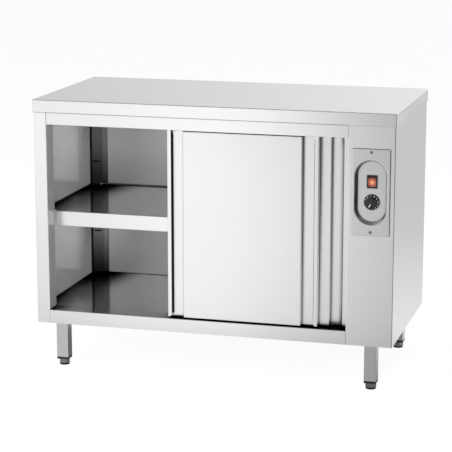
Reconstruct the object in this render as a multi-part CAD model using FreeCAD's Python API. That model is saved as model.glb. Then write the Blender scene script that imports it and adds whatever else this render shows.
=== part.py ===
import FreeCAD, Part
import math
import os

# Heated plate cabinet: a stainless carcass on four legs, a warm chamber closed by two
# sliding doors, one shelf on slotted posts, and a control column on the right with the
# switch, the thermostat, the fan and the heating element.
# Millimetres. Front towards -Y, right is +X, up is +Z, origin under the middle of the cabinet.

V = FreeCAD.Vector

# Overall
width = 1200.0
depth = 600.0
height = 900.0
side_overhang = 3.0
front_overhang = 4.0
rear_overhang = 2.0

# Sheet metal
skin = 1.0
bend = 1.0
hem = 12.0
overrun = 5.0

# Worktop
top_height = 40.0
top_sheet = 1.5
top_edge_radius = 2.5
top_return = 20.0
core_thickness = 18.0
core_margin = 2.0
stiffener_sheet = 1.2
stiffener_width = 60.0
stiffener_flange = 20.0
stiffener_setback = 30.0
stiffener_place_share = 0.28

# Legs, caps and feet
foot_height = 21.0
cap_flange = 7.5
leg_clear = 123.5
leg_size = 40.0
leg_wall = 2.0
leg_corner = 2.0
leg_inset_side = 54.0
leg_inset_front = 28.0
leg_inset_rear = 28.0
leg_top_plate = 4.0
leg_fit = 0.5
plug_fit = 0.25
plug_length = 38.0
stud_radius = 5.0
stud_length = 36.0
running_fit = 0.05
foot_seat_gap = 0.1
foot_flats = 31.0
pad_height = 6.0
pad_radius = 16.5
channel_sheet = 2.0
leg_bolt_radius = 4.0
leg_bolt_clearance = 0.4
leg_bolt_head = 6.5
leg_bolt_head_height = 5.0
leg_bolt_drop = 20.0

# Front frame
stile_width = 43.0
column_width = 150.0
return_depth = 61.0
rear_flange = 20.0
top_rail_height = 41.5
top_rail_return = 5.0
bottom_rail_height = 45.0
rail_flange_reach = 65.0

# Chamber
rear_cavity = 32.0
insulation_gap = 0.5
floor_slab = 34.0
floor_slab_margin = 12.0

# Slotted posts
post_sheet = 1.2
post_side_flange = 17.0
post_face_width = 37.0
post_face_rise = 12.0
post_back_flange = 19.0
front_post_setback = 4.0
slot_width = 26.0
slot_height = 6.0
slot_pitch = 126.5
slot_count = 3
lowest_slot = 152.0

# Shelf
shelf_height = 323.0
shelf_flange = 50.0
shelf_return = 12.0
shelf_rim = 3.5
shelf_edge_gap = 0.5
shelf_door_gap = 4.0
shelf_front_notch = 47.0
shelf_notch_gap = 1.0
bracket_sheet = 2.0
bracket_width = 22.0
bracket_tab = 34.0
bracket_tongue = 12.0
bracket_hook = 3.0
bracket_fit = 0.5
bracket_drop = 6.0

# Sliding doors
door_lap = 9.0
door_thickness = 26.0
door_sheet = 0.8
door_bend = 0.6
door_face_setback = 8.0
door_spacing = 3.0
door_floor_gap = 5.0
door_rail_lap = 8.5
door_side_gap = 7.0
front_door_open_share = 0.82
lip_setback = 3.0
lip_width = 12.5
lip_corner = 8.0
grip_depth = 18.0
grip_floor = 36.0
grip_opening = 4.5
grip_slot_width = 14.0
grip_end_low = 7.0
grip_end_high = 20.0
face_wall_run = 1.0
door_channel_sheet = 1.0
door_channel_height = 13.0
door_channel_setback = 18.0
core_fit = 0.5

# Door hangers, rollers and tracks
hanger_spacing = 340.0
hanger_width = 40.0
hanger_plate = 3.0
hanger_foot = 3.0
hanger_setback = 2.7
hanger_top_margin = 6.0
roller_radius = 9.0
roller_width = 5.0
roller_tread_gap = 0.05
axle_radius = 2.0
axle_collar_radius = 3.2
axle_collar = 2.8
axle_clip = 0.8
axle_side_gap = 0.2
track_sheet = 1.2
track_side_gap = 1.1
track_web_gap = 1.0
track_lip = 2.5
track_flange = 11.0
track_drop = 26.0
track_end_gap = 0.5

# Door guide and buffers
guide_length = 40.0
guide_fin = 3.4
guide_fin_height = 14.0
guide_base = 3.0
guide_margin = 3.0
buffer_radius = 4.0
buffer_gap = 0.1
buffer_top_inset = 4.25

# Control plate
plate_width = 122.0
plate_height = 276.0
plate_sheet = 1.2
plate_rise = 3.0
plate_corner = 4.0
plate_edge_radius = 2.6
plate_drop = 210.0
plate_screw_inset = 11.0
dish_width = 106.0
dish_height = 208.0
dish_floor_width = 90.0
dish_floor_height = 194.0
dish_depth = 19.8
dish_rim_radius = 0.9
dish_clearance = 1.5
screw_radius = 2.0
screw_head_radius = 4.2
screw_head_height = 1.4
screw_length = 9.0
screw_clearance = 0.2
screw_slot = 1.0

# Rocker switch
switch_rise = 31.0
bezel_width = 33.0
bezel_height = 41.0
bezel_depth = 2.4
switch_body_width = 30.0
switch_body_height = 38.0
switch_body_depth = 24.0
switch_wall = 2.0
switch_cavity_depth = 13.0
switch_fit = 0.3
rocker_gap = 0.5
rocker_half_height = 15.0
rocker_front = 6.0
rocker_valley = 4.4
rocker_shoulder = 1.0
rocker_back = 5.0
rocker_back_half = 4.0
rocker_tilt_degrees = 8.0
rocker_pivot_depth = 3.6
rocker_pin_radius = 1.5
rocker_pin_length = 1.5

# Thermostat
knob_drop = 34.0
knob_skirt_radius = 24.0
knob_skirt = 4.5
knob_stand_off = 1.5
knob_hub_radius = 16.5
knob_crown_radius = 15.0
knob_shyness = 2.3
knob_edge = 0.8
knob_grip_half = 4.5
knob_grip_depth = 7.0
knob_turn_degrees = 24.0
knob_socket = 9.0
knob_rib_count = 30
knob_rib_radius = 0.7
shaft_radius = 3.0
thermostat_width = 38.0
thermostat_depth = 24.0
thermostat_neck_radius = 4.8
thermostat_neck_gap = 0.3
shaft_inset = 14.0

# Air circulation
duct_depth = 60.0
duct_width = 230.0
duct_headroom = 88.0
duct_rise = 35.0
duct_shift = 40.0
fan_rise = 133.0
inlet_radius = 48.0
guard_size = 130.0
guard_bar = 6.0
guard_slot = 8.0
outlet_count = 6
outlet_length = 120.0
outlet_height = 8.0
outlet_pitch = 18.0
outlet_top_drop = 45.0
impeller_radius = 52.0
impeller_depth = 30.0
impeller_gap = 8.0
impeller_plate = 1.5
impeller_hub_radius = 9.0
impeller_eye_radius = 38.0
blade_count = 12
blade_inner_radius = 24.0
blade_thickness = 1.4
fan_shaft_radius = 3.0
fan_shaft_hole = 6.0
motor_radius = 32.0
motor_length = 48.0
motor_foot = 44.0
motor_foot_plate = 3.0
motor_edge = 4.0
element_radius = 4.0
element_bend = 15.0
element_span = 40.0
element_rise = 245.0
element_headroom = 65.0
element_depth = 30.0
element_terminal = 22.0
element_flange_width = 76.0
element_flange_height = 34.0
element_flange = 3.0
element_hole_gap = 0.6
fin_radius = 11.0
fin_thickness = 1.0
fin_pitch = 14.0

# Electrical inlet
terminal_length = 66.0
terminal_width = 24.0
terminal_height = 20.0
terminal_poles = 5
terminal_screw_radius = 3.0
terminal_screw_depth = 8.0
terminal_setback = 90.0
gland_radius = 8.0
gland_bore = 5.0
gland_flats = 22.0
gland_nut = 6.0
gland_dome = 16.0
gland_dome_radius = 9.5
gland_lock_nut = 5.0
gland_lock_flats = 24.0
gland_inset_side = 27.0
gland_inset_rear = 80.0

# Back panel
vent_count = 8
vent_length = 90.0
vent_height = 4.0
vent_pitch = 12.0
vent_low_share = 0.12
back_screw_count = 5
back_screw_margin = 25.0

# Places worked out from the sizes above
top_z = height - top_height
leg_bottom = foot_height + cap_flange
base_z = leg_bottom + leg_clear
deck_z = base_z + bottom_rail_height
opening_top = top_z - top_rail_height
left_x = -width / 2 + side_overhang
right_x = width / 2 - side_overhang
front_y = -depth / 2 + front_overhang
back_y = depth / 2 - rear_overhang - skin
opening_left = left_x + stile_width
opening_right = right_x - column_width
return_y = front_y + return_depth
chamber_left = left_x + skin
inner_back = back_y - rear_cavity
rail_end = front_y + rail_flange_reach
column_x = (opening_right + right_x) / 2
plate_z = top_z - plate_drop
front_face_y = front_y + door_face_setback
rear_face_y = front_face_y + door_thickness + door_spacing
door_bottom = deck_z + door_floor_gap
door_top = opening_top + door_rail_lap
door_left_stop = opening_left + door_side_gap
door_right_stop = opening_right - door_side_gap
door_width = (door_right_stop - door_left_stop + door_lap) / 2
door_travel = door_right_stop - door_left_stop - door_width
front_door_x = door_left_stop + door_travel * front_door_open_share
rear_door_x = door_right_stop - door_width
shelf_z = deck_z + shelf_height
shelf_front = rear_face_y + door_thickness + shelf_door_gap
plate_front = front_y - plate_rise
dish_floor_y = plate_front + dish_depth
leg_x = right_x - leg_inset_side - leg_size / 2
leg_front_y = front_y + leg_inset_front + leg_size / 2
leg_rear_y = depth / 2 - leg_inset_rear - leg_size / 2
duct_x = opening_right + skin
duct_y = duct_shift
fan_z = deck_z + fan_rise
duct_bottom = deck_z + duct_rise
duct_top = top_z - duct_headroom


def box(x0, x1, y0, y1, z0, z1):
    return Part.makeBox(x1 - x0, y1 - y0, z1 - z0, V(x0, y0, z0))


def rod(start, axis, radius, length):
    return Part.makeCylinder(radius, length, start, axis)


def fuse(shapes):
    whole = shapes[0].multiFuse(shapes[1:]) if len(shapes) > 1 else shapes[0]
    return whole.removeSplitter()


def single(shape):
    """The one solid of a finished piece."""
    return shape.Solids[0] if len(shape.Solids) == 1 else shape


def in_plan(point, level):
    return V(point[0], point[1], level)


def in_side_view(point, level):
    return V(level, point[0], point[1])


def in_front_view(point, level):
    return V(point[0], level, point[1])


def rounded_path(points, radii):
    """Corners and arc middles of an open path: a list of straight and round stretches."""
    stretches = []
    start = points[0]
    for before, corner, after, radius in zip(points, points[1:], points[2:], radii):
        into = unit(before, corner)
        out = unit(corner, after)
        cosine = max(-1.0, min(1.0, into[0] * out[0] + into[1] * out[1]))
        turn = math.acos(cosine)
        reach = radius * math.tan(turn / 2)
        first = (corner[0] - into[0] * reach, corner[1] - into[1] * reach)
        last = (corner[0] + out[0] * reach, corner[1] + out[1] * reach)
        bisector = (out[0] - into[0], out[1] - into[1])
        size = math.hypot(*bisector)
        sag = radius * (1 / math.cos(turn / 2) - 1)
        middle = (corner[0] + bisector[0] / size * sag, corner[1] + bisector[1] / size * sag)
        stretches.append((start, first))
        stretches.append((first, middle, last))
        start = last
    stretches.append((start, points[-1]))
    return stretches


def unit(start, end):
    run = (end[0] - start[0], end[1] - start[1])
    size = math.hypot(*run)
    return (run[0] / size, run[1] / size)


def edges_of(stretches, view, level):
    edges = []
    for stretch in stretches:
        ends = [view(point, level) for point in stretch]
        if len(ends) == 2:
            edges.append(Part.LineSegment(*ends).toShape())
        else:
            edges.append(Part.Arc(*ends).toShape())
    return edges


def folded(points, sheet, view, start, end, inside=bend):
    """A folded sheet: the points run along one face, the sheet lies to their left.

    A negative sheet lies to their right. Every fold has the same inside radius.
    """
    offset = []
    path_radii = []
    offset_radii = []
    normals = []
    for a, b in zip(points, points[1:]):
        heading = unit(a, b)
        normals.append((-heading[1], heading[0]))
    offset.append((points[0][0] + normals[0][0] * sheet, points[0][1] + normals[0][1] * sheet))
    for corner, n, m in zip(points[1:], normals, normals[1:]):
        share = sheet / (1 + n[0] * m[0] + n[1] * m[1])
        offset.append((corner[0] + (n[0] + m[0]) * share, corner[1] + (n[1] + m[1]) * share))
        turn = n[0] * m[1] - n[1] * m[0]
        inner = turn * sheet > 0
        path_radii.append(inside + abs(sheet) if inner else inside)
        offset_radii.append(inside if inner else inside + abs(sheet))
    last = normals[-1]
    offset.append((points[-1][0] + last[0] * sheet, points[-1][1] + last[1] * sheet))
    there = rounded_path(points, path_radii)
    back = rounded_path(offset[::-1], offset_radii[::-1])
    loop = there + [(points[-1], offset[-1])] + back + [(offset[0], points[0])]
    face = Part.Face(Part.Wire(Part.sortEdges(edges_of(loop, view, start))[0]))
    return face.extrude(view((0, 0), end) - view((0, 0), start))


def hexagon(centre, axis, flats, length):
    """A hexagonal bar with one face towards the viewer."""
    radius = flats / math.sqrt(3)
    across = V(1, 0, 0) if abs(axis.x) < 0.5 else V(0, 1, 0)
    turn = FreeCAD.Rotation(axis, 60)
    corner = across * radius
    corners = []
    for _ in range(6):
        corners.append(centre + corner)
        corner = turn.multVec(corner)
    return Part.Face(Part.makePolygon(corners + corners[:1])).extrude(axis * length)


def slotted(x0, x1, y0, y1, z_mid, slot):
    """The cutter for a round-ended slot along X, through Y."""
    r = slot / 2
    through = V(0, y1 - y0, 0)
    ends = [rod(V(x, y0, z_mid), V(0, 1, 0), r, through.Length) for x in (x0 + r, x1 - r)]
    return fuse([box(x0 + r, x1 - r, y0, y1, z_mid - r, z_mid + r)] + ends)


# Worktop: a pan folded from one sheet, with a stiff core under its top

def worktop():
    x, y = width / 2, depth / 2
    outer = box(-x, x, -y, y, top_z, height)
    edges = [e for e in outer.Edges
             if not all(abs(v.Point.z - top_z) < skin for v in e.Vertexes)]
    outer = outer.makeFillet(top_edge_radius, edges)
    t = top_sheet
    hollow = box(-x + t, x - t, -y + t, y - t, top_z + t, height - t)
    mouth = box(-x + top_return, x - top_return, -y + top_return, y - top_return,
                top_z - overrun, top_z + t)
    return outer.cut(hollow).cut(mouth)


def worktop_core():
    m = top_sheet + core_margin
    top = height - top_sheet
    return box(-width / 2 + m, width / 2 - m, -depth / 2 + m, depth / 2 - m,
               top - core_thickness, top)


def worktop_stiffeners():
    high = height - top_sheet - core_thickness
    half = width / 2 - stiffener_setback
    bars = []
    for side in (-1, 1):
        y = side * depth * stiffener_place_share
        w = stiffener_width / 2
        f = stiffener_flange
        low = top_z + stiffener_sheet
        points = [(y - w - f, high), (y - w, high), (y - w, low), (y + w, low),
                  (y + w, high), (y + w + f, high)]
        bars.append(folded(points, -stiffener_sheet, in_side_view, -half, half))
    return bars


# Carcass

def side_wall(sign):
    """A side panel folded on round the front, so that it also makes the stile or column."""
    edge = left_x if sign < 0 else right_x
    mouth = opening_left if sign < 0 else opening_right
    points = [(mouth, return_y), (mouth, front_y), (edge, front_y), (edge, back_y),
              (edge - sign * rear_flange, back_y)]
    wall = folded(points, sign * skin, in_plan, base_z, top_z)
    x0, x1 = sorted((edge - sign * skin, mouth - sign * overrun))
    relief = box(x0, x1, front_y + skin, return_y + overrun, base_z - overrun, base_z + hem)
    return wall.cut(fuse([relief] + back_screw_rods(sign, screw_radius + screw_clearance)))


def left_side_panel():
    return side_wall(-1)


def right_side_panel():
    wall = side_wall(1)
    hole = pill(dish_width + 2 * dish_clearance, dish_height + 2 * dish_clearance,
                front_y - overrun)
    cutter = Part.Face(hole).extrude(V(0, 2 * overrun, 0))
    screws = [rod(V(column_x, front_y - overrun, z), V(0, 1, 0),
                  screw_radius + screw_clearance, 2 * overrun) for z in plate_screw_levels()]
    return wall.cut(fuse([cutter] + screws))


def top_rail():
    points = [(front_y + top_rail_return, opening_top), (front_y, opening_top),
              (front_y, top_z), (rail_end, top_z)]
    return folded(points, -skin, in_side_view, opening_left, opening_right)


def floor_pan():
    deck = box(chamber_left, right_x - skin, return_y, back_y - skin - bend, deck_z - skin,
               deck_z)
    points = [(front_y, base_z), (front_y, deck_z), (return_y + overrun, deck_z)]
    front = folded(points, -skin, in_side_view, opening_left, opening_right)
    return fuse([deck, front])


def base_pan():
    x0, x1 = chamber_left, right_x - skin
    y0, y1 = front_y + skin, back_y - skin - bend
    pan = box(x0, x1, y0, y1, base_z, base_z + hem)
    pan = pan.cut(box(x0 + skin, x1 - skin, y0 + skin, y1 - skin, base_z + skin,
                      base_z + hem + overrun))
    half = leg_size / 2 + leg_fit
    holes = [box(x - half, x + half, y - half, y + half, base_z - overrun, base_z + overrun)
             for x, y in leg_places().values()]
    gland_x, gland_y = gland_place()
    holes.append(rod(V(gland_x, gland_y, base_z - overrun), V(0, 0, 1),
                     gland_radius + screw_clearance, 2 * overrun))
    return pan.cut(fuse(holes))


def base_channels():
    half = leg_size / 2 + leg_fit + channel_sheet
    top = deck_z - skin
    low = base_z + skin
    channels = []
    for x in (-leg_x, leg_x):
        points = [(x - half, low), (x - half, top), (x + half, top), (x + half, low)]
        y0, y1 = front_y + 2 * skin, back_y - 2 * skin - bend
        channel = folded(points, -channel_sheet, in_front_view, y0, y1, leg_fit)
        channels.append(channel.cut(fuse(leg_bolt_holes())))
    return channels


def floor_insulation():
    x0 = -leg_x + leg_size / 2 + leg_fit + channel_sheet + floor_slab_margin
    low = base_z + skin
    return box(x0, opening_right - insulation_gap, front_y + 2 * skin,
               back_y - 2 * skin - bend, low, low + floor_slab)


def back_panel():
    panel = box(left_x + insulation_gap, right_x - insulation_gap, back_y, back_y + skin,
                base_z, top_z)
    cuts = back_screw_rods(-1, screw_radius + screw_clearance)
    cuts += back_screw_rods(1, screw_radius + screw_clearance)
    low = base_z + (top_z - base_z) * vent_low_share
    for i in range(vent_count):
        z = low + i * vent_pitch
        cuts.append(slotted(column_x - vent_length / 2, column_x + vent_length / 2,
                            back_y - overrun, back_y + overrun, z, vent_height))
    return panel.cut(fuse(cuts))


def back_screw_levels():
    low = deck_z + back_screw_margin
    step = (top_z - back_screw_margin - low) / (back_screw_count - 1)
    return [low + i * step for i in range(back_screw_count)]


def back_screw_rods(sign, radius, behind=overrun):
    """Straight rods where the back panel's screws pass one side's flange."""
    x = (left_x if sign < 0 else right_x) - sign * rear_flange / 2
    return [rod(V(x, back_y + skin + behind, z), V(0, -1, 0), radius, behind + screw_length)
            for z in back_screw_levels()]


def back_panel_screws():
    screws = []
    for sign in (-1, 1):
        x = (left_x if sign < 0 else right_x) - sign * rear_flange / 2
        for z in back_screw_levels():
            screws.append(screw(V(x, back_y + skin, z), V(0, 1, 0)))
    return screws


def screw(seat, out):
    """A pan-head screw whose head sits on the seat and points out."""
    head = rod(seat, out, screw_head_radius, screw_head_height)
    head = head.makeFillet(screw_head_height / 2, [head.Edges[0]] if
                           (head.Edges[0].CenterOfMass - seat).Length > screw_head_height / 2
                           else [head.Edges[2]])
    half = screw_slot / 2
    top = seat + out * (screw_head_height / 2)
    reach = screw_head_radius + overrun
    if abs(out.y) > 0:
        y0, y1 = sorted((top.y, top.y + out.y * overrun))
        cutter = box(seat.x - half, seat.x + half, y0, y1, seat.z - reach, seat.z + reach)
    else:
        z0, z1 = sorted((top.z, top.z + out.z * overrun))
        cutter = box(seat.x - half, seat.x + half, seat.y - reach, seat.y + reach, z0, z1)
    shank = rod(seat, out * -1, screw_radius, screw_length)
    return fuse([head.cut(cutter), shank])


# Warm chamber

def ceiling_panel():
    points = [(chamber_left, top_z - hem), (chamber_left, top_z), (opening_right, top_z),
              (opening_right, top_z - hem)]
    return folded(points, -skin, in_front_view, rail_end, inner_back)


def inner_back_wall():
    points = [(chamber_left, inner_back + hem), (chamber_left, inner_back),
              (opening_right, inner_back), (opening_right, inner_back + hem)]
    return folded(points, skin, in_plan, deck_z, top_z)


def rear_insulation():
    g = insulation_gap
    return box(left_x + rear_flange + g, opening_right - skin - bend - g, inner_back + skin,
               back_y - g, deck_z, top_z - g)


def chamber_partition():
    points = [(opening_right + hem, return_y), (opening_right, return_y),
              (opening_right, back_y), (opening_right + hem, back_y)]
    wall = folded(points, -skin, in_plan, deck_z, top_z)
    x = opening_right - overrun
    through = 2 * overrun
    cuts = [rod(V(x, duct_y, fan_z), V(1, 0, 0), inlet_radius, through)]
    top = duct_top - outlet_top_drop
    for i in range(outlet_count):
        z = top - i * outlet_pitch
        y0, y1 = duct_y - outlet_length / 2, duct_y + outlet_length / 2
        cuts.append(box(x, x + through, y0, y1, z - outlet_height, z))
    return wall.cut(fuse(cuts))


def post(sign, rear):
    """A slotted post in one corner of the chamber, in plan from the side wall inwards."""
    wall = chamber_left if sign < 0 else opening_right
    if rear:
        base, inward = inner_back, -1
    else:
        base, inward = rail_end + front_post_setback, 1
    rise = base + inward * post_face_rise
    points = [(wall, rise + inward * post_side_flange), (wall, rise),
              (wall - sign * post_face_width, base)]
    if rear:
        points.append((wall - sign * (post_face_width + post_back_flange), base))
    side = -sign * inward * post_sheet
    shape = folded(points, side, in_plan, deck_z, top_z - hem)
    return shape.cut(fuse(post_slots(sign, rear)))


def post_frame(sign, rear):
    """The middle of a post's slanted face and the direction along it."""
    wall = chamber_left if sign < 0 else opening_right
    if rear:
        base, inward = inner_back, -1
    else:
        base, inward = rail_end + front_post_setback, 1
    start = V(wall, base + inward * post_face_rise, 0)
    end = V(wall - sign * post_face_width, base, 0)
    along = (end - start).normalize()
    normal = V(-along.y, along.x, 0)
    if normal.y * inward < 0:
        normal = normal * -1
    return (start + end) * 0.5, along, normal


def post_slots(sign, rear):
    middle, along, normal = post_frame(sign, rear)
    cuts = []
    for i in range(slot_count):
        z = deck_z + lowest_slot + i * slot_pitch
        cuts.append(slab(middle, along, normal, slot_width, overrun, -overrun,
                         z - slot_height / 2, z + slot_height / 2))
    return cuts


def slab(middle, along, normal, wide, front, back, z0, z1):
    """A block set square to a slanted face: so wide, from back to front along its normal."""
    half = along * (wide / 2)
    corners = [middle - half + normal * back, middle + half + normal * back,
               middle + half + normal * front, middle - half + normal * front]
    corners = [V(c.x, c.y, z0) for c in corners]
    return Part.Face(Part.makePolygon(corners + corners[:1])).extrude(V(0, 0, z1 - z0))


def corner_posts():
    return [post(sign, rear) for rear in (False, True) for sign in (-1, 1)]


def shelf():
    left = chamber_left + post_sheet + shelf_edge_gap
    right = opening_right - post_sheet - shelf_edge_gap
    rear = inner_back - post_sheet - shelf_edge_gap
    tall = shelf_z + shelf_rim
    tray = box(left, right, shelf_front, rear, shelf_z - skin, tall)
    tray = tray.cut(box(left + skin, right - skin, shelf_front - overrun, rear - skin,
                        shelf_z, tall + overrun))
    x0 = chamber_left + shelf_front_notch
    x1 = opening_right - shelf_front_notch
    points = [(shelf_front + shelf_return, shelf_z - shelf_flange),
              (shelf_front, shelf_z - shelf_flange), (shelf_front, shelf_z),
              (shelf_front + shelf_return, shelf_z)]
    front = folded(points, -skin, in_side_view, x0, x1)
    tray = tray.cut(fuse(shelf_notches()))
    strip = box(left, right, shelf_front - overrun, shelf_front + shelf_return / 2,
                shelf_z - overrun, tall + overrun)
    return fuse([tray.cut(strip), front])


def shelf_notches():
    """The corners cut out of the shelf, so that it goes past the posts."""
    low, high = shelf_z - shelf_flange, shelf_z + shelf_rim + overrun
    front_end = rail_end + front_post_setback + post_face_rise + post_sheet + shelf_notch_gap
    rear_end = inner_back - post_face_rise - post_sheet - shelf_notch_gap
    rear_reach = post_face_width + post_sheet
    return [
        box(chamber_left - overrun, chamber_left + shelf_front_notch, shelf_front - overrun,
            front_end, low, high),
        box(opening_right - shelf_front_notch, opening_right + overrun, shelf_front - overrun,
            front_end, low, high),
        box(chamber_left - overrun, chamber_left + rear_reach, rear_end, back_y, low, high),
        box(opening_right - rear_reach, opening_right + overrun, rear_end, back_y, low, high)]


def shelf_brackets():
    """Clips that hook into the posts' middle slots and carry the shelf's corners."""
    slot_z = deck_z + lowest_slot + slot_pitch
    low = slot_z - slot_height / 2 + bracket_fit
    under = shelf_z - skin
    brackets = []
    for sign in (-1, 1):
        for rear in (False, True):
            middle, along, normal = post_frame(sign, rear)
            face = post_sheet
            back_plate = slab(middle, along, normal, bracket_width, face + bracket_sheet,
                              face, low - bracket_drop, under)
            tab = slab(middle, along, normal, bracket_width, face + bracket_tab, face,
                       under - bracket_sheet, under)
            tongue = slab(middle, along, normal, bracket_tongue, face, -bracket_hook, low,
                          low + bracket_sheet)
            hook = slab(middle, along, normal, bracket_tongue, -bracket_fit, -bracket_hook,
                        low - bracket_drop, low)
            brackets.append(fuse([back_plate, tab, tongue, hook]))
    return brackets


# Sliding doors

def door_margin():
    """How far a door's raised face starts from the door's end."""
    return lip_width + grip_opening + grip_floor + face_wall_run


def door_skin(x, y):
    """The front sheet: a raised face between two sunk strips, each with a grip slot."""
    left, right = x + door_sheet, x + door_width - door_sheet
    x0, x1 = x + door_margin(), x + door_width - door_margin()
    floor = y + grip_depth
    points = [(left, floor), (x0 - face_wall_run, floor), (x0, y), (x1, y),
              (x1 + face_wall_run, floor), (right, floor)]
    sheet = folded(points, door_sheet, in_plan, door_bottom, door_top, door_bend)
    plates = []
    for z in (door_bottom, door_top - door_sheet):
        corners = [(x0 + door_sheet, y + door_sheet), (x1 - door_sheet, y + door_sheet),
                   (x1 + face_wall_run, floor), (x0 - face_wall_run, floor)]
        wire = Part.makePolygon([V(px, py, z) for px, py in corners + corners[:1]])
        plates.append(Part.Face(wire).extrude(V(0, 0, door_sheet)))
    return fuse([sheet] + plates).cut(fuse(grip_slots(x, y)))


def grip_slots(x, y):
    """The cutters for the two upright slots behind a door's lips, with half-round ends."""
    r = grip_slot_width / 2
    near, far = y + grip_depth - overrun, y + grip_depth + overrun
    low, high = door_bottom + grip_end_low + r, door_top - grip_end_high - r
    middle = lip_width + grip_opening - r
    cutters = []
    for place in (x + middle, x + door_width - middle):
        ends = [rod(V(place, near, z), V(0, 1, 0), r, far - near) for z in (low, high)]
        cutters.append(fuse([box(place - r, place + r, near, far, low, high)] + ends))
    return cutters


def door_liner(x, y):
    """The inner sheet, folded round both ends of the door to end in the front lips."""
    back = y + door_thickness
    lip = y + lip_setback
    right = x + door_width
    points = [(x + lip_width, lip), (x, lip), (x, back), (right, back), (right, lip),
              (right - lip_width, lip)]
    sheet = folded(points, -door_sheet, in_plan, door_bottom, door_top, door_bend)
    reach = door_width / 2 - lip_width
    corners = [e for e in sheet.Edges if abs(e.Length - door_sheet) < running_fit
               and abs(abs(e.CenterOfMass.x - x - door_width / 2) - reach) < running_fit]
    return sheet.makeFillet(lip_corner, corners).cut(guide_passage(x, y))


def guide_passage(x, y):
    """The way through both ends of a door that lets the floor guide's fin pass."""
    near = y + grip_depth + door_sheet + door_channel_sheet
    far = y + door_thickness - door_sheet - door_channel_sheet
    return box(x - overrun, x + door_width + overrun, near, far, door_bottom - overrun,
               door_bottom + door_channel_height - door_channel_sheet)


def door_core(x, y):
    z0 = door_bottom + door_channel_height + core_fit
    z1 = door_top - door_channel_height - core_fit
    inset = door_margin() + door_sheet + door_bend + core_fit
    return box(x + inset, x + door_width - inset, y + door_sheet,
               y + door_thickness - door_sheet, z0, z1)


def door_channels(x, y):
    """Two channels in the door's back: the upper holds the hangers, the lower is guided."""
    near = y + grip_depth + door_sheet
    far = y + door_thickness - door_sheet
    x0 = x + door_channel_setback
    x1 = x + door_width - door_channel_setback
    channels = []
    for top in (door_top, door_bottom + door_channel_height):
        low = top - door_channel_height
        points = [(near, low), (near, top), (far, top), (far, low)]
        channels.append(folded(points, -door_channel_sheet, in_side_view, x0, x1, door_bend))
    return channels


def hanger_places(x):
    middle = x + door_width / 2
    return (middle - hanger_spacing / 2, middle + hanger_spacing / 2)


def plate_near(y):
    """Where a hanger's upright plate starts, measured from the door's face."""
    return y + grip_depth + door_sheet + hanger_setback


def roller_z():
    return top_z - skin - track_drop + track_sheet + roller_tread_gap + roller_radius


def door_hangers(x, y):
    near = plate_near(y)
    z = roller_z()
    hangers = []
    for place in hanger_places(x):
        half = hanger_width / 2
        foot = box(place - half, place + half, y + grip_depth + door_sheet,
                   y + door_thickness - door_sheet, door_top, door_top + hanger_foot)
        plate = box(place - half, place + half, near, near + hanger_plate, door_top,
                    z + hanger_top_margin)
        collar = rod(V(place, near, z), V(0, -1, 0), axle_collar_radius, axle_collar)
        reach = axle_collar + roller_width + 2 * axle_side_gap
        axle = rod(V(place, near, z), V(0, -1, 0), axle_radius, reach + axle_clip)
        clip = rod(V(place, near - reach, z), V(0, -1, 0), axle_collar_radius, axle_clip)
        hangers.append(fuse([foot, plate, collar, axle, clip]))
    return hangers


def roller(x, y, index):
    near = plate_near(y) - axle_collar - axle_side_gap
    centre = V(hanger_places(x)[index], near, roller_z())
    tread = rod(centre, V(0, -1, 0), roller_radius, roller_width)
    return tread.cut(rod(centre + V(0, overrun, 0), V(0, -1, 0), axle_radius + running_fit,
                         roller_width + 2 * overrun))


def door_tracks():
    """One folded hanging track for each door, under the top rail's flange."""
    tracks = []
    top = top_z - skin
    ledge = top - track_drop
    for y in (front_face_y, rear_face_y):
        roller_near = plate_near(y) - axle_collar - axle_side_gap
        lip = roller_near + track_side_gap + track_sheet
        web = roller_near - roller_width - axle_side_gap - axle_clip - track_web_gap
        web -= track_sheet
        points = [(web - track_flange, top), (web, top), (web, ledge), (lip, ledge),
                  (lip, ledge + track_sheet + track_lip)]
        profile = folded_track(points)
        tracks.append(profile)
    return tracks


def folded_track(points):
    """The flange folds forwards and the ledge backwards, so each keeps its own side."""
    flange = [(points[0][0], points[0][1]), (points[1][0] + track_sheet, points[1][1]),
              (points[2][0] + track_sheet, points[2][1] + overrun)]
    web = [(points[1][0], points[1][1] - overrun), points[2], points[3], points[4]]
    x0 = opening_left + track_end_gap
    x1 = opening_right - track_end_gap
    upper = folded(flange, -track_sheet, in_side_view, x0, x1)
    lower = folded(web, track_sheet, in_side_view, x0, x1)
    return fuse([upper, lower])


def door_guide():
    """The block on the floor whose two fins run in the doors' lower channels."""
    x = (opening_left + opening_right) / 2
    x0, x1 = x - guide_length / 2, x + guide_length / 2
    middle = (grip_depth + door_thickness) / 2
    y0 = front_face_y + middle - guide_fin / 2 - guide_margin
    y1 = rear_face_y + middle + guide_fin / 2 + guide_margin
    pieces = [box(x0, x1, y0, y1, deck_z, deck_z + guide_base)]
    for y in (front_face_y + middle, rear_face_y + middle):
        fin = box(x0, x1, y - guide_fin / 2, y + guide_fin / 2, deck_z,
                  deck_z + guide_fin_height)
        rounded = [e for e in fin.Edges if abs(e.Length - guide_fin_height) < roller_tread_gap]
        pieces.append(fin.makeFillet(guide_fin / 2 - running_fit, rounded))
    return fuse(pieces)


def door_buffers():
    """Rubber buttons behind the top rail, where each door comes to its stop."""
    thick = door_side_gap - buffer_gap
    z = door_top - buffer_top_inset
    pads = []
    for x, out in ((opening_left, 1), (opening_right, -1)):
        for y in (front_face_y, rear_face_y):
            middle = y + (lip_setback + door_thickness) / 2
            pads.append(rod(V(x, middle, z), V(out, 0, 0), buffer_radius, thick))
    return pads


# Legs and feet

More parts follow.
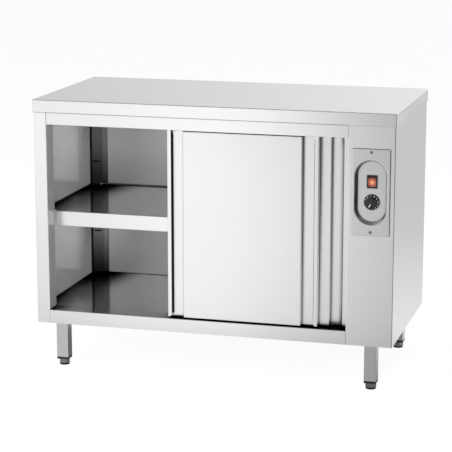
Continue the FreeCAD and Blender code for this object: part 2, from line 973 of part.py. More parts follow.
def leg_places():
    return {"front_left": (-leg_x, leg_front_y), "front_right": (leg_x, leg_front_y),
            "rear_left": (-leg_x, leg_rear_y), "rear_right": (leg_x, leg_rear_y)}


def leg_bolt_z():
    return deck_z - skin - leg_bolt_drop


def leg_bolt_holes():
    radius = leg_bolt_radius + leg_bolt_clearance
    reach = leg_size + 2 * (leg_fit + channel_sheet + overrun)
    return [rod(V(x - reach / 2, y, leg_bolt_z()), V(1, 0, 0), radius, reach)
            for x, y in leg_places().values()]


def leg(x, y):
    half = leg_size / 2
    top = deck_z - skin - channel_sheet
    tube = box(x - half, x + half, y - half, y + half, leg_bottom, top)
    upright = [e for e in tube.Edges if abs(e.Length - (top - leg_bottom)) < skin]
    tube = tube.makeFillet(leg_corner, upright)
    inner = half - leg_wall
    tube = tube.cut(box(x - inner, x + inner, y - inner, y + inner, leg_bottom - overrun,
                        top - leg_top_plate))
    return tube.cut(fuse(leg_bolt_holes()))


def leg_bolts():
    bolts = []
    half = leg_size / 2 + leg_fit + channel_sheet
    for x, y in leg_places().values():
        z = leg_bolt_z()
        shank = rod(V(x - half, y, z), V(1, 0, 0), leg_bolt_radius, 2 * half)
        ends = [hexagon(V(x + side * half, y, z), V(side, 0, 0), 2 * leg_bolt_head,
                        leg_bolt_head_height) for side in (-1, 1)]
        bolts.append(fuse([shank] + ends))
    return bolts


def leg_caps():
    caps = []
    for x, y in leg_places().values():
        half = leg_size / 2
        flange = box(x - half, x + half, y - half, y + half, foot_height, leg_bottom)
        upright = [e for e in flange.Edges if abs(e.Length - cap_flange) < running_fit]
        flange = flange.makeFillet(leg_corner, upright)
        inner = half - leg_wall - plug_fit
        plug = box(x - inner, x + inner, y - inner, y + inner, leg_bottom,
                   leg_bottom + plug_length)
        bore = rod(V(x, y, foot_height - overrun), V(0, 0, 1), stud_radius + running_fit,
                   cap_flange + plug_length + 2 * overrun)
        caps.append(fuse([flange, plug]).cut(bore))
    return caps


def foot(x, y):
    top = foot_height - foot_seat_gap
    pad = rod(V(x, y, 0), V(0, 0, 1), pad_radius, pad_height)
    body = hexagon(V(x, y, pad_height), V(0, 0, 1), foot_flats, top - pad_height)
    stud = rod(V(x, y, pad_height), V(0, 0, 1), stud_radius, top - pad_height + stud_length)
    return fuse([pad, body, stud])


# Control plate, switch and thermostat

def pill(wide, tall, y):
    """A closed outline with half-round ends, upright in the control column's front."""
    r = wide / 2
    z0 = plate_z - tall / 2 + r
    z1 = plate_z + tall / 2 - r
    x = column_x
    edges = [Part.LineSegment(V(x + r, y, z0), V(x + r, y, z1)).toShape(),
             Part.Arc(V(x + r, y, z1), V(x, y, z1 + r), V(x - r, y, z1)).toShape(),
             Part.LineSegment(V(x - r, y, z1), V(x - r, y, z0)).toShape(),
             Part.Arc(V(x - r, y, z0), V(x, y, z0 - r), V(x + r, y, z0)).toShape()]
    return Part.Wire(edges)


def plate_screw_levels():
    half = plate_height / 2 - plate_screw_inset
    return (plate_z - half, plate_z + half)


def cushion_box(x0, x1, front, rear, z0, z1, corner, edge):
    """A box with rounded upright corners and a rounded front rim."""
    block = box(x0, x1, front, rear, z0, z1)
    along = [e for e in block.Edges if abs(e.BoundBox.YLength - (rear - front)) < running_fit]
    block = block.makeFillet(corner, along)
    rim = [e for e in block.Edges if abs(e.BoundBox.YMin - front) < running_fit
           and abs(e.BoundBox.YMax - front) < running_fit]
    return block.makeFillet(edge, rim)


def control_plate():
    x0, x1 = column_x - plate_width / 2, column_x + plate_width / 2
    z0, z1 = plate_z - plate_height / 2, plate_z + plate_height / 2
    t = plate_sheet
    plate = cushion_box(x0, x1, plate_front, front_y, z0, z1, plate_corner, plate_edge_radius)
    inside = cushion_box(x0 + t, x1 - t, plate_front + t, front_y + overrun, z0 + t, z1 - t,
                         plate_corner - t, plate_edge_radius - t)
    hollow = Part.makeLoft([pill(dish_width, dish_height, plate_front),
                            pill(dish_floor_width, dish_floor_height, dish_floor_y)], True, True)
    shell = Part.makeLoft([pill(dish_width + 2 * t, dish_height + 2 * t, plate_front),
                           pill(dish_floor_width + 2 * t, dish_floor_height + 2 * t,
                                dish_floor_y + t)], True, True)
    whole = fuse([plate.cut(inside), shell]).cut(hollow)
    rim = [e for e in whole.Edges if abs(e.BoundBox.YMin - plate_front) < running_fit
           and abs(e.BoundBox.YMax - plate_front) < running_fit
           and abs(e.CenterOfMass.x - column_x) < dish_width / 2 + running_fit
           and abs(e.CenterOfMass.z - plate_z) < dish_height / 2 + running_fit]
    whole = whole.makeFillet(dish_rim_radius, rim)
    y = dish_floor_y - overrun
    half_w = switch_body_width / 2 + switch_fit
    half_h = switch_body_height / 2 + switch_fit
    switch_z = plate_z + switch_rise
    cuts = [box(column_x - half_w, column_x + half_w, y, y + 2 * overrun,
                switch_z - half_h, switch_z + half_h),
            rod(V(column_x, y, plate_z - knob_drop), V(0, 1, 0),
                thermostat_neck_radius + switch_fit, 2 * overrun)]
    cuts += [rod(V(column_x, plate_front - overrun, z), V(0, 1, 0),
                 screw_radius + screw_clearance, 2 * overrun) for z in plate_screw_levels()]
    return whole.cut(fuse(cuts))


def control_plate_screws():
    return [screw(V(column_x, plate_front, z), V(0, -1, 0)) for z in plate_screw_levels()]


def switch_pivot():
    return V(column_x, dish_floor_y - bezel_depth + rocker_pivot_depth, plate_z + switch_rise)


def switch_body():
    z = plate_z + switch_rise
    y = dish_floor_y
    bezel = box(column_x - bezel_width / 2, column_x + bezel_width / 2, y - bezel_depth, y,
                z - bezel_height / 2, z + bezel_height / 2)
    rim = [e for e in bezel.Edges if abs(e.CenterOfMass.y - (y - bezel_depth)) < running_fit]
    bezel = bezel.makeFillet(bezel_depth / 3, rim)
    body = box(column_x - switch_body_width / 2, column_x + switch_body_width / 2, y,
               y + switch_body_depth, z - switch_body_height / 2, z + switch_body_height / 2)
    half_w = switch_body_width / 2 - switch_wall
    half_h = switch_body_height / 2 - switch_wall
    cavity = box(column_x - half_w, column_x + half_w, y - bezel_depth - overrun,
                 y + switch_cavity_depth, z - half_h, z + half_h)
    pins = rocker_pins(rocker_pin_radius + running_fit, running_fit)
    return fuse([bezel, body]).cut(fuse([cavity, pins]))


def rocker_pins(radius, extra):
    half = switch_body_width / 2 - switch_wall - rocker_gap + rocker_pin_length + extra
    return rod(switch_pivot() - V(half, 0, 0), V(1, 0, 0), radius, 2 * half)


def switch_rocker():
    half_w = switch_body_width / 2 - switch_wall - rocker_gap
    profile = [(-rocker_front, rocker_half_height), (-rocker_valley, 0),
               (-rocker_front, -rocker_half_height), (rocker_shoulder, -rocker_half_height),
               (rocker_back, -rocker_back_half), (rocker_back, rocker_back_half),
               (rocker_shoulder, rocker_half_height)]
    pivot = switch_pivot()
    corners = [V(pivot.x - half_w, pivot.y + y, pivot.z + z) for y, z in profile]
    body = Part.Face(Part.makePolygon(corners + corners[:1])).extrude(V(2 * half_w, 0, 0))
    rocker = fuse([body, rocker_pins(rocker_pin_radius, 0)])
    rocker.rotate(pivot, V(1, 0, 0), rocker_tilt_degrees)
    return rocker


def knob_centre():
    return V(column_x, dish_floor_y - knob_stand_off, plate_z - knob_drop)


def thermostat_knob():
    base = knob_centre()
    out = V(0, -1, 0)
    skirt = rod(base, out, knob_skirt_radius, knob_skirt)
    rim = [e for e in skirt.Edges if e.isClosed() and e.CenterOfMass.y < base.y - knob_edge]
    skirt = skirt.makeFillet(knob_edge, rim)
    hub_base = base + out * knob_skirt
    tall = hub_base.y - (plate_front + knob_shyness)
    hub = Part.makeCone(knob_hub_radius, knob_crown_radius, tall, hub_base, out)
    scoops = []
    for side in (-1, 1):
        near = base.x + side * knob_grip_half
        far = base.x + side * 2 * knob_hub_radius
        x0, x1 = sorted((near, far))
        scoop = box(x0, x1, hub_base.y - tall - overrun, hub_base.y - tall + knob_grip_depth,
                    base.z - 2 * knob_hub_radius, base.z + 2 * knob_hub_radius)
        scoops.append(scoop.rotate(base, V(0, 1, 0), knob_turn_degrees))
    ribs = []
    for i in range(knob_rib_count):
        angle = 2 * math.pi * i / knob_rib_count
        place = base + V(math.cos(angle), 0, math.sin(angle)) * knob_skirt_radius
        ribs.append(rod(place + V(0, overrun, 0), out, knob_rib_radius,
                        knob_skirt + 2 * overrun))
    socket = rod(base + V(0, overrun, 0), out, shaft_radius, knob_socket + overrun)
    return fuse([skirt, hub.cut(fuse(scoops))]).cut(fuse(ribs + [socket]))


def thermostat_shaft():
    base = knob_centre()
    start = V(base.x, base.y - knob_socket, base.z)
    end = dish_floor_y + plate_sheet + shaft_inset
    return rod(start, V(0, 1, 0), shaft_radius, end - start.y)


def thermostat_body():
    base = knob_centre()
    half = thermostat_width / 2
    y = dish_floor_y + plate_sheet
    body = box(base.x - half, base.x + half, y, y + thermostat_depth, base.z - half,
               base.z + half)
    neck = rod(V(base.x, y, base.z), V(0, -1, 0), thermostat_neck_radius,
               plate_sheet + thermostat_neck_gap)
    bore = rod(V(base.x, y - overrun, base.z), V(0, 1, 0), shaft_radius + running_fit,
               overrun + shaft_inset + running_fit)
    return fuse([body, neck]).cut(bore)


# Fan, heating element and duct in the control column

def air_duct():
    x0, x1 = duct_x, duct_x + duct_depth
    y0, y1 = duct_y - duct_width / 2, duct_y + duct_width / 2
    shell = box(x0, x1, y0, y1, duct_bottom, duct_top)
    shell = shell.cut(box(x0 - overrun, x1 - skin, y0 + skin, y1 - skin, duct_bottom + skin,
                          duct_top - skin))
    cuts = [rod(V(x1 - overrun, duct_y, fan_z), V(1, 0, 0), fan_shaft_hole, 2 * overrun)]
    for y, z in element_ends():
        cuts.append(rod(V(x1 - overrun, y, z), V(1, 0, 0), element_radius + element_hole_gap,
                        2 * overrun))
    return shell.cut(fuse(cuts))


def fan_guard():
    """A slotted plate over the fan's inlet, on the chamber side."""
    half = guard_size / 2
    x0 = opening_right - skin
    plate = box(x0, opening_right, duct_y - half, duct_y + half, fan_z - half, fan_z + half)
    pitch = guard_bar + guard_slot
    count = int((2 * inlet_radius - guard_bar) // pitch)
    cuts = []
    for i in range(count):
        z = fan_z + (i - (count - 1) / 2) * pitch
        reach = math.sqrt(max(inlet_radius ** 2 - (abs(z - fan_z) + guard_slot / 2) ** 2,
                              guard_slot ** 2))
        cuts.append(box(x0 - overrun, x0 + overrun, duct_y - reach, duct_y + reach,
                        z - guard_slot / 2, z + guard_slot / 2))
    return plate.cut(fuse(cuts))


def fan_impeller():
    x0 = duct_x + impeller_gap
    x1 = x0 + impeller_depth
    along = V(1, 0, 0)
    centre = V(x0, duct_y, fan_z)
    back = rod(V(x1 - impeller_plate, duct_y, fan_z), along, impeller_radius, impeller_plate)
    ring = rod(centre, along, impeller_radius, impeller_plate)
    ring = ring.cut(rod(centre - along * overrun, along, impeller_eye_radius,
                        impeller_plate + 2 * overrun))
    hub = rod(centre + along * impeller_plate, along, impeller_hub_radius,
              impeller_depth - impeller_plate)
    blades = []
    outer = impeller_radius - impeller_plate
    for i in range(blade_count):
        blade = box(x0, x1, duct_y + blade_inner_radius, duct_y + outer,
                    fan_z - blade_thickness / 2, fan_z + blade_thickness / 2)
        blade.rotate(centre, along, 360.0 * i / blade_count)
        blades.append(blade)
    shaft_end = duct_x + duct_depth + motor_foot_plate + motor_length / 2
    shaft = rod(centre + along * impeller_plate, along, fan_shaft_radius,
                shaft_end - x0 - impeller_plate)
    return fuse([back, ring, hub, shaft] + blades)


def fan_motor():
    x0 = duct_x + duct_depth
    along = V(1, 0, 0)
    plate = box(x0, x0 + motor_foot_plate, duct_y - motor_foot, duct_y + motor_foot,
                fan_z - motor_foot, fan_z + motor_foot)
    can = rod(V(x0 + motor_foot_plate, duct_y, fan_z), along, motor_radius, motor_length)
    far = x0 + motor_foot_plate + motor_length
    rim = [e for e in can.Edges if e.isClosed() and abs(e.CenterOfMass.x - far) < skin]
    can = can.makeFillet(motor_edge, rim)
    bore = rod(V(x0 - overrun, duct_y, fan_z), along, fan_shaft_radius + running_fit,
               overrun + motor_foot_plate + motor_length / 2 + running_fit)
    return fuse([plate, can]).cut(bore)


def element_ends():
    """Where the heating element's two ends pass the duct's outer wall, as Y and Z."""
    z = duct_bottom + element_rise
    return ((duct_y - element_span / 2, z), (duct_y + element_span / 2, z))


def heating_element():
    """A finned tube bent to a hairpin, held by a flange on the duct's outer wall."""
    x = duct_x + element_depth
    wall = duct_x + duct_depth
    (y0, z), (y1, _) = element_ends()
    b = element_bend
    diagonal = b * (1 - math.sqrt(0.5))
    r = element_span / 2
    top = duct_top - element_headroom - r
    end = wall + element_terminal
    edges = [
        Part.LineSegment(V(end, y0, z), V(x + b, y0, z)),
        Part.Arc(V(x + b, y0, z), V(x + diagonal, y0, z + diagonal), V(x, y0, z + b)),
        Part.LineSegment(V(x, y0, z + b), V(x, y0, top)),
        Part.Arc(V(x, y0, top), V(x, (y0 + y1) / 2, top + r), V(x, y1, top)),
        Part.LineSegment(V(x, y1, top), V(x, y1, z + b)),
        Part.Arc(V(x, y1, z + b), V(x + diagonal, y1, z + diagonal), V(x + b, y1, z)),
        Part.LineSegment(V(x + b, y1, z), V(end, y1, z))]
    path = Part.Wire([edge.toShape() for edge in edges])
    circle = Part.Wire(Part.makeCircle(element_radius, V(end, y0, z), V(-1, 0, 0)))
    tube = path.makePipeShell([circle], True, True)
    fins = []
    fin_count = int((top - z - b) // fin_pitch)
    for y in (y0, y1):
        for i in range(fin_count):
            low = z + b + (i + 0.5) * fin_pitch
            fins.append(rod(V(x, y, low), V(0, 0, 1), fin_radius, fin_thickness))
    middle = (y0 + y1) / 2
    flange = box(wall, wall + element_flange, middle - element_flange_width / 2,
                 middle + element_flange_width / 2, z - element_flange_height / 2,
                 z + element_flange_height / 2)
    return fuse([tube, flange] + fins)


# Electrical inlet

def gland_place():
    return (right_x - skin - gland_inset_side, back_y - gland_inset_rear)


def cable_gland():
    x, y = gland_place()
    down = V(0, 0, -1)
    nut = hexagon(V(x, y, base_z), down, gland_flats, gland_nut)
    dome = rod(V(x, y, base_z - gland_nut), down, gland_dome_radius, gland_dome)
    tip = [e for e in dome.Edges if e.isClosed()
           and e.CenterOfMass.z < base_z - gland_nut - gland_dome / 2]
    dome = dome.makeFillet((gland_dome_radius - gland_bore) / 2, tip)
    thread = rod(V(x, y, base_z), V(0, 0, 1), gland_radius, skin + 2 * gland_lock_nut)
    lock = hexagon(V(x, y, base_z + skin), V(0, 0, 1), gland_lock_flats, gland_lock_nut)
    bore = rod(V(x, y, base_z - gland_nut - gland_dome - overrun), V(0, 0, 1), gland_bore,
               gland_nut + gland_dome + skin + 2 * gland_lock_nut + 2 * overrun)
    return fuse([nut, dome, thread, lock]).cut(bore)


def terminal_block():
    x = column_x
    y = back_y - terminal_setback
    block = box(x - terminal_length / 2, x + terminal_length / 2, y - terminal_width / 2,
                y + terminal_width / 2, deck_z, deck_z + terminal_height)
    step = terminal_length / terminal_poles
    wells = []
    for i in range(terminal_poles):
        place = V(x + (i - (terminal_poles - 1) / 2) * step, y,
                  deck_z + terminal_height - terminal_screw_depth)
        wells.append(rod(place, V(0, 0, 1), terminal_screw_radius,
                         terminal_screw_depth + overrun))
    return block.cut(fuse(wells))


def pieces():
    """Every piece by its node's name."""
    nodes = {
        "worktop": worktop(),
        "worktop_core": worktop_core(),
        "worktop_stiffeners": worktop_stiffeners(),
        "ceiling_panel": ceiling_panel(),
        "top_rail": top_rail(),
        "left_side_panel": left_side_panel(),
        "right_side_panel": right_side_panel(),
        "back_panel": back_panel(),
        "back_panel_screws": back_panel_screws(),
        "inner_back_wall": inner_back_wall(),
        "rear_insulation": rear_insulation(),
        "chamber_partition": chamber_partition(),
        "floor_pan": floor_pan(),
        "floor_insulation": floor_insulation(),
        "base_pan": base_pan(),
        "base_channels": base_channels(),
        "leg_bolts": leg_bolts(),
        "leg_caps": leg_caps(),
        "corner_posts": corner_posts(),
        "shelf": shelf(),
        "shelf_brackets": shelf_brackets(),
        "door_tracks": door_tracks(),
        "door_guide": door_guide(),
        "door_buffers": door_buffers(),
        "control_plate": control_plate(),
        "control_plate_screws": control_plate_screws(),
        "switch_body": switch_body(),
        "switch_rocker": switch_rocker(),
        "thermostat_body": thermostat_body(),
        "thermostat_shaft": thermostat_shaft(),
        "thermostat_knob": thermostat_knob(),
        "air_duct": air_duct(),
        "fan_guard": fan_guard(),
        "fan_motor": fan_motor(),
        "fan_impeller": fan_impeller(),
        "heating_element": heating_element(),
        "terminal_block": terminal_block(),
        "cable_gland": cable_gland(),
    }
    for corner, (x, y) in leg_places().items():
        nodes["leg_" + corner] = leg(x, y)
        nodes["foot_" + corner] = foot(x, y)
    for door, x, y in (("front_door", front_door_x, front_face_y),
                       ("rear_door", rear_door_x, rear_face_y)):
        nodes[door + "_skin"] = door_skin(x, y)
        nodes[door + "_liner"] = door_liner(x, y)
        nodes[door + "_core"] = door_core(x, y)
        nodes[door + "_channels"] = door_channels(x, y)
        nodes[door + "_hangers"] = door_hangers(x, y)
        nodes[door + "_roller_left"] = roller(x, y, 0)
        nodes[door + "_roller_right"] = roller(x, y, 1)
    return nodes


def main():
    os.makedirs("parts", exist_ok=True)
    for name, shape in pieces().items():
        if isinstance(shape, list):
            shape = Part.Compound([single(piece) for piece in shape])
        else:
            shape = single(shape)
        solids = len(shape.Solids)
        print(name, solids, "solids" if solids > 1 else "solid", "valid", shape.isValid(),
              "volume", round(shape.Volume))
        shape.exportStep("parts/" + name + ".step")


main()
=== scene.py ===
# Heated plate cabinet: finishes, printed marks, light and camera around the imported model.
import math
import bpy
from mathutils import Matrix, Vector


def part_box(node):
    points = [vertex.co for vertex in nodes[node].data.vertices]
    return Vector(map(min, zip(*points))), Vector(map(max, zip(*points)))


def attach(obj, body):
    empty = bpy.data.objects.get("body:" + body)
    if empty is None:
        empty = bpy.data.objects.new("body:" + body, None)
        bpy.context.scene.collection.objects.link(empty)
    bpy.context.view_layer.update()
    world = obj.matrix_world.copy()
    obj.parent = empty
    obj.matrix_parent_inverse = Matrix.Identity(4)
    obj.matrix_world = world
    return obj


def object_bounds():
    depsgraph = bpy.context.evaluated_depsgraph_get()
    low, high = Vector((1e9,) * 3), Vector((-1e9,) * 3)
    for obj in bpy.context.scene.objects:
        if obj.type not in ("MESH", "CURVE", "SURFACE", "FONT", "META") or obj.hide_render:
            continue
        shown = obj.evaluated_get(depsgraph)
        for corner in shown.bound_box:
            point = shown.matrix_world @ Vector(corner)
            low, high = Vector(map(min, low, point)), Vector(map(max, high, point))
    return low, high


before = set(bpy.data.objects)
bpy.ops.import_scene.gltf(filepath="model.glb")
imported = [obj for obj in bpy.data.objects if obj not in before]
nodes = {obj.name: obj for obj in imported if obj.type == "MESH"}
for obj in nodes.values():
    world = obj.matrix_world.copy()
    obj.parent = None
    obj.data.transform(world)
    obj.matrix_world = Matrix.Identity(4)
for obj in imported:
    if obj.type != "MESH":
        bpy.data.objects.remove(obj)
cadLow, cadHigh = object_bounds()
print("model loaded:", len(nodes), "nodes")

mm = 0.001
axisX, axisY, axisZ = range(3)  # to the right, to the back, and up
white = (1.0, 1.0, 1.0, 1.0)


# Camera: the photograph's viewing angle, from the right and a little above the worktop
camera = {
    "place": (1.5403, -5.6830, 1.7224),
    "downDegrees": 12.177,
    "leftDegrees": 15.431,
    "lens": 142.33,
    "sensor": 36.0,
}


def placeCamera():
    data = bpy.data.cameras.new("photo_camera")
    data.lens = camera["lens"]
    data.sensor_width = camera["sensor"]
    holder = bpy.data.objects.new("photo_camera", data)
    bpy.context.scene.collection.objects.link(holder)
    holder.location = camera["place"]
    holder.rotation_euler = (math.radians(90 - camera["downDegrees"]), 0,
                             math.radians(camera["leftDegrees"]))
    bpy.context.scene.camera = holder


placeCamera()
print("camera placed")


# Small tools for materials
def linearColour(code):
    # an sRGB code made linear
    channels = [int(code[i:i + 2], 16) / 255 for i in (1, 3, 5)]
    linear = [c / 12.92 if c <= 0.04045 else ((c + 0.055) / 1.055) ** 2.4 for c in channels]
    return (*linear, 1.0)


def dulled(colour, share):
    return (*(channel * share for channel in colour[:3]), 1.0)


def addNode(tree, kind, settings=None, **inputs):
    # an input is a value or another node's output socket; i0, i1 ... name inputs by number
    node = tree.nodes.new(kind)
    for name, value in (settings or {}).items():
        setattr(node, name, value)
    for name, value in inputs.items():
        key = int(name[1:]) if name[0] == "i" and name[1:].isdigit() else name.replace("_", " ")
        if isinstance(value, bpy.types.NodeSocket):
            tree.links.new(value, node.inputs[key])
        else:
            node.inputs[key].default_value = value
    return node


def newMaterial(name):
    material = bpy.data.materials.new(name)
    material.use_nodes = True
    material.node_tree.nodes.clear()
    return material, material.node_tree


def principled(material, **inputs):
    tree = material.node_tree
    shader = addNode(tree, "ShaderNodeBsdfPrincipled", **inputs)
    addNode(tree, "ShaderNodeOutputMaterial", Surface=shader.outputs[0])
    return material


def calc(tree, operation, a, b, clamp=False):
    return addNode(tree, "ShaderNodeMath", {"operation": operation, "use_clamp": clamp},
                   i0=a, i1=b).outputs[0]


def blendColours(tree, factor, first, second):
    mix = addNode(tree, "ShaderNodeMix", {"data_type": "RGBA"}, i0=factor, i6=first, i7=second)
    return mix.outputs[2]


def multiplyColours(tree, first, second, share=1.0):
    mix = addNode(tree, "ShaderNodeMix", {"data_type": "RGBA", "blend_type": "MULTIPLY"},
                  i0=share, i6=first, i7=second)
    return mix.outputs[2]


def mixNumbers(tree, factor, first, second):
    mix = addNode(tree, "ShaderNodeMix", {"data_type": "FLOAT"}, i0=factor, i2=first, i3=second)
    return mix.outputs[0]


def objectPlace(tree):
    return addNode(tree, "ShaderNodeTexCoord").outputs["Object"]


def noise(tree, cellMm, detail):
    # noise whose cells measure cellMm, either one size or one each along X, Y and Z
    sizes = cellMm if isinstance(cellMm, (list, tuple)) else [cellMm] * 3
    scale = tuple(1 / (size * mm) for size in sizes)
    stretched = addNode(tree, "ShaderNodeMapping", Vector=objectPlace(tree), Scale=scale)
    return addNode(tree, "ShaderNodeTexNoise", Vector=stretched.outputs[0], Scale=1.0,
                   Detail=detail).outputs["Fac"]


def flakes(tree, flakeMm):
    # flakes that measure flakeMm, each with its own tone from 0 to 1
    cells = addNode(tree, "ShaderNodeTexVoronoi", Vector=objectPlace(tree),
                    Scale=1 / (flakeMm * mm))
    return addNode(tree, "ShaderNodeSeparateColor", Color=cells.outputs["Color"]).outputs[0]


def twoTones(tree, pattern, finish):
    return blendColours(tree, pattern, linearColour(finish["dark"]),
                        linearColour(finish["pale"]))


def bumps(tree, height, strength, depthMm):
    return addNode(tree, "ShaderNodeBump", Height=height, Strength=strength,
                   Distance=depthMm * mm).outputs[0]


def around(tree, pattern, middle, swing):
    # a pattern from 0 to 1 turned into middle - swing to middle + swing
    return addNode(tree, "ShaderNodeMapRange", i0=pattern, i3=middle - swing,
                   i4=middle + swing).outputs[0]


def steps(tree, factor, stops):
    # a run through colours, or through plain strengths, at places from 0 to 1
    ramp = addNode(tree, "ShaderNodeValToRGB", Fac=factor)
    elements = ramp.color_ramp.elements
    for place, value in stops[1:-1]:
        elements.new(place)
    for element, (place, value) in zip(elements, stops):
        element.position = place
        element.color = linearColour(value) if isinstance(value, str) else (value,) * 3 + (1,)
    return ramp.outputs[0]


def between(tree, value, low, high, smooth=False):
    # low and high are (value, strength)
    kind = "SMOOTHSTEP" if smooth else "LINEAR"
    return addNode(tree, "ShaderNodeMapRange", {"interpolation_type": kind}, i0=value,
                   i1=low[0], i2=high[0], i3=low[1], i4=high[1]).outputs[0]


# Tests for where on a node a finish applies, by place along an axis or by the way a face
# turns. A soft width lets a test fade in past its limit. A face counts as square on to an
# axis from the cosine squareOn.
squareOn = 0.7


def above(axis, limit, soft=0.0):
    return "place", axis, 1, limit, soft


def below(axis, limit, soft=0.0):
    return "place", axis, -1, -limit, soft


def facing(axis, sign, limit=squareOn, soft=0.0):
    return "facing", axis, sign, limit, soft


def inside(tree, tests):
    # 1 where every test holds
    coords = addNode(tree, "ShaderNodeTexCoord")
    parts = {
        "place": addNode(tree, "ShaderNodeSeparateXYZ", Vector=coords.outputs["Object"]),
        "facing": addNode(tree, "ShaderNodeSeparateXYZ", Vector=coords.outputs["Normal"]),
    }
    result = None
    for source, axis, sign, limit, soft in tests:
        value = calc(tree, "MULTIPLY", parts[source].outputs[axis], sign)
        if soft:
            passed = between(tree, value, (limit, 0.0), (limit + soft, 1.0), True)
        else:
            passed = calc(tree, "GREATER_THAN", value, limit)
        result = passed if result is None else calc(tree, "MULTIPLY", result, passed)
    return result


def paintedShade(tree, dark, colour, metallic):
    # dark is (tests, colour there, metallic there): painted shade where the tests hold
    tests, shade, shadeMetallic = dark
    mask = inside(tree, tests)
    if shadeMetallic < 1:
        metallic = mixNumbers(tree, mask, metallic, shadeMetallic)
    return blendColours(tree, mask, colour, linearColour(shade)), metallic


# Creases: where sheets meet or fold inwards, little light gets in, and the colour there is
# darkened with painted shade.
# Each reach is how far from the next surface a crease still shows, in mm.
crease = {
    "reach": 5.0,
    "faceReach": 2.5,
    "doorReach": 10.0,
    "plateReach": 5.5,
    "samples": 8,
    "from": 0.45,
    "to": 0.95,
    "deepest": 0.05,
}


# Painted shade in creases, found by an ambient occlusion test
def paintedCreaseShade(tree, colour, reach=crease["reach"], where=None):
    near = addNode(tree, "ShaderNodeAmbientOcclusion", {"samples": crease["samples"]},
                   Distance=reach * mm).outputs["AO"]
    light = between(tree, near, (crease["from"], crease["deepest"]), (crease["to"], 1.0))
    return multiplyColours(tree, colour, light, inside(tree, where) if where else 1.0)


# Brushed stainless, 304 sheet with a belt-polished grain. The grain stretches reflections
# across itself and gives faint straight streaks. The real grit lines are about 0.1 mm wide,
# so they are drawn 4 mm wide here, coarse enough to show.
brushedSteel = {
    "colour": "#E8E8E7",
    "brightColour": "#F6F6F5",
    "roughness": 0.29,
    "brightRoughness": 0.11,
    "streakWidth": 4.0,
    "streakLength": 900.0,
    "streakTone": 0.995,
    "streakRoughness": 0.002,
    "cloud": 260.0,
    "cloudRoughness": 0.01,
    "anisotropy": 0.55,
}


def brushedStainless(name, grain, bright=None, dark=None, colour=brushedSteel["colour"],
                     brightMetal=1.0, reach=crease["reach"], shaded=()):
    # bright is tests for where the sheet is polished, dark is painted shade, and shaded is
    # (reach, tests) of painted crease shade
    material, tree = newMaterial(name)
    size = [brushedSteel["streakWidth"]] * 3
    size[grain] = brushedSteel["streakLength"]
    streaks = noise(tree, size, detail=0.0)
    clouds = noise(tree, brushedSteel["cloud"], detail=1.0)
    roughness = calc(tree, "ADD", around(tree, streaks, brushedSteel["roughness"],
                                         brushedSteel["streakRoughness"]),
                     around(tree, clouds, 0.0, brushedSteel["cloudRoughness"]))
    base = linearColour(colour)
    tone = blendColours(tree, streaks, dulled(base, brushedSteel["streakTone"]), base)
    metallic = 1.0
    if bright:
        mask = inside(tree, bright)
        roughness = mixNumbers(tree, mask, roughness, brushedSteel["brightRoughness"])
        tone = blendColours(tree, mask, tone, linearColour(brushedSteel["brightColour"]))
        if brightMetal < 1:
            metallic = mixNumbers(tree, mask, 1.0, brightMetal)
    if dark:
        tone, metallic = paintedShade(tree, dark, tone, metallic)
    light = paintedCreaseShade(tree, white, reach)
    for wide, where in shaded:
        light = paintedCreaseShade(tree, light, wide, where)
    tangent = addNode(tree, "ShaderNodeTangent",
                      {"direction_type": "RADIAL", "axis": "X" if grain == axisX else "Z"})
    return principled(material, Base_Color=multiplyColours(tree, tone, light),
                      Metallic=metallic, Roughness=roughness, Specular_Tint=light,
                      Tangent=tangent.outputs[0], Anisotropic=brushedSteel["anisotropy"])


# Bright annealed stainless, as rolled: nearly a mirror, with a faint haze along the rolling
brightSteel = {
    "hazeWidth": 30.0,
    "hazeLength": 500.0,
    "hazeTone": 0.93,
    "hazeRoughness": 0.02,
}


def brightStainless(name, colour, roughness, metallic=1.0, dark=None):
    material, tree = newMaterial(name)
    size = (brightSteel["hazeWidth"], brightSteel["hazeWidth"], brightSteel["hazeLength"])
    haze = noise(tree, size, detail=0.0)
    base = linearColour(colour)
    tone = blendColours(tree, haze, dulled(base, brightSteel["hazeTone"]), base)
    if dark:
        tone, metallic = paintedShade(tree, dark, tone, metallic)
    # the colour carries painted crease shade
    return principled(material, Base_Color=paintedCreaseShade(tree, tone), Metallic=metallic,
                      Roughness=around(tree, haze, roughness, brightSteel["hazeRoughness"]))


# Galvanised sheet: zinc crystals about 9 mm across, each dull or bright in its own way
galvanised = {"crystal": 9.0, "dark": "#9DA2A5", "pale": "#B4B8BA", "roughness": 0.42,
              "swing": 0.07}


def galvanisedSheet(name):
    material, tree = newMaterial(name)
    tone = flakes(tree, galvanised["crystal"])
    return principled(material, Base_Color=twoTones(tree, tone, galvanised), Metallic=1.0,
                      Roughness=around(tree, tone, galvanised["roughness"],
                                       galvanised["swing"]))


# Zinc-plated steel, cleaned and passivated: bright and a little blue, with fine pitting
zincPlating = {"colour": "#C0C2C4", "pit": 0.8, "pitTone": 0.86, "pitDepth": 0.03,
               "bump": 0.15, "roughness": 0.34, "swing": 0.06}

# The moulded pad under a foot's plated hexagon
footPad = {"height": 6.0, "colour": "#0A0A0A", "rougher": 0.25}


